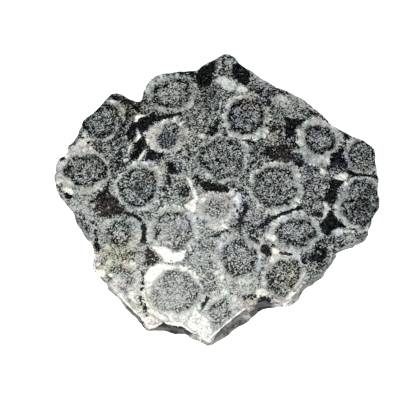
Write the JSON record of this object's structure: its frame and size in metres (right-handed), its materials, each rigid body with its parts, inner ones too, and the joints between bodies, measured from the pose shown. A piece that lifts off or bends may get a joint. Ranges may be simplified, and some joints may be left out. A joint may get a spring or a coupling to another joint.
{
  "type": "orbicular diorite slab",
  "caption": "Flat slice of orbicular diorite with a broken rim: polished upper face with ringed orbs, sawn lower face to rest on.",
  "frame": {"origin": "middle of the slab's box, in the plane of the lower sawn face", "axes": "+Z through the thickness towards the polished face, +X along the longest extent, +Y across it"},
  "size_m": [0.1396, 0.1306, 0.01],
  "materials": {
    "diorite": "speckled grey, white and black rock with pale-ringed orbs; polished on the upper face, dull on the broken rim and the sawn lower face"
  },
  "bodies": {
    "root": {"slab": "diorite"}
  },
  "joints": []
}
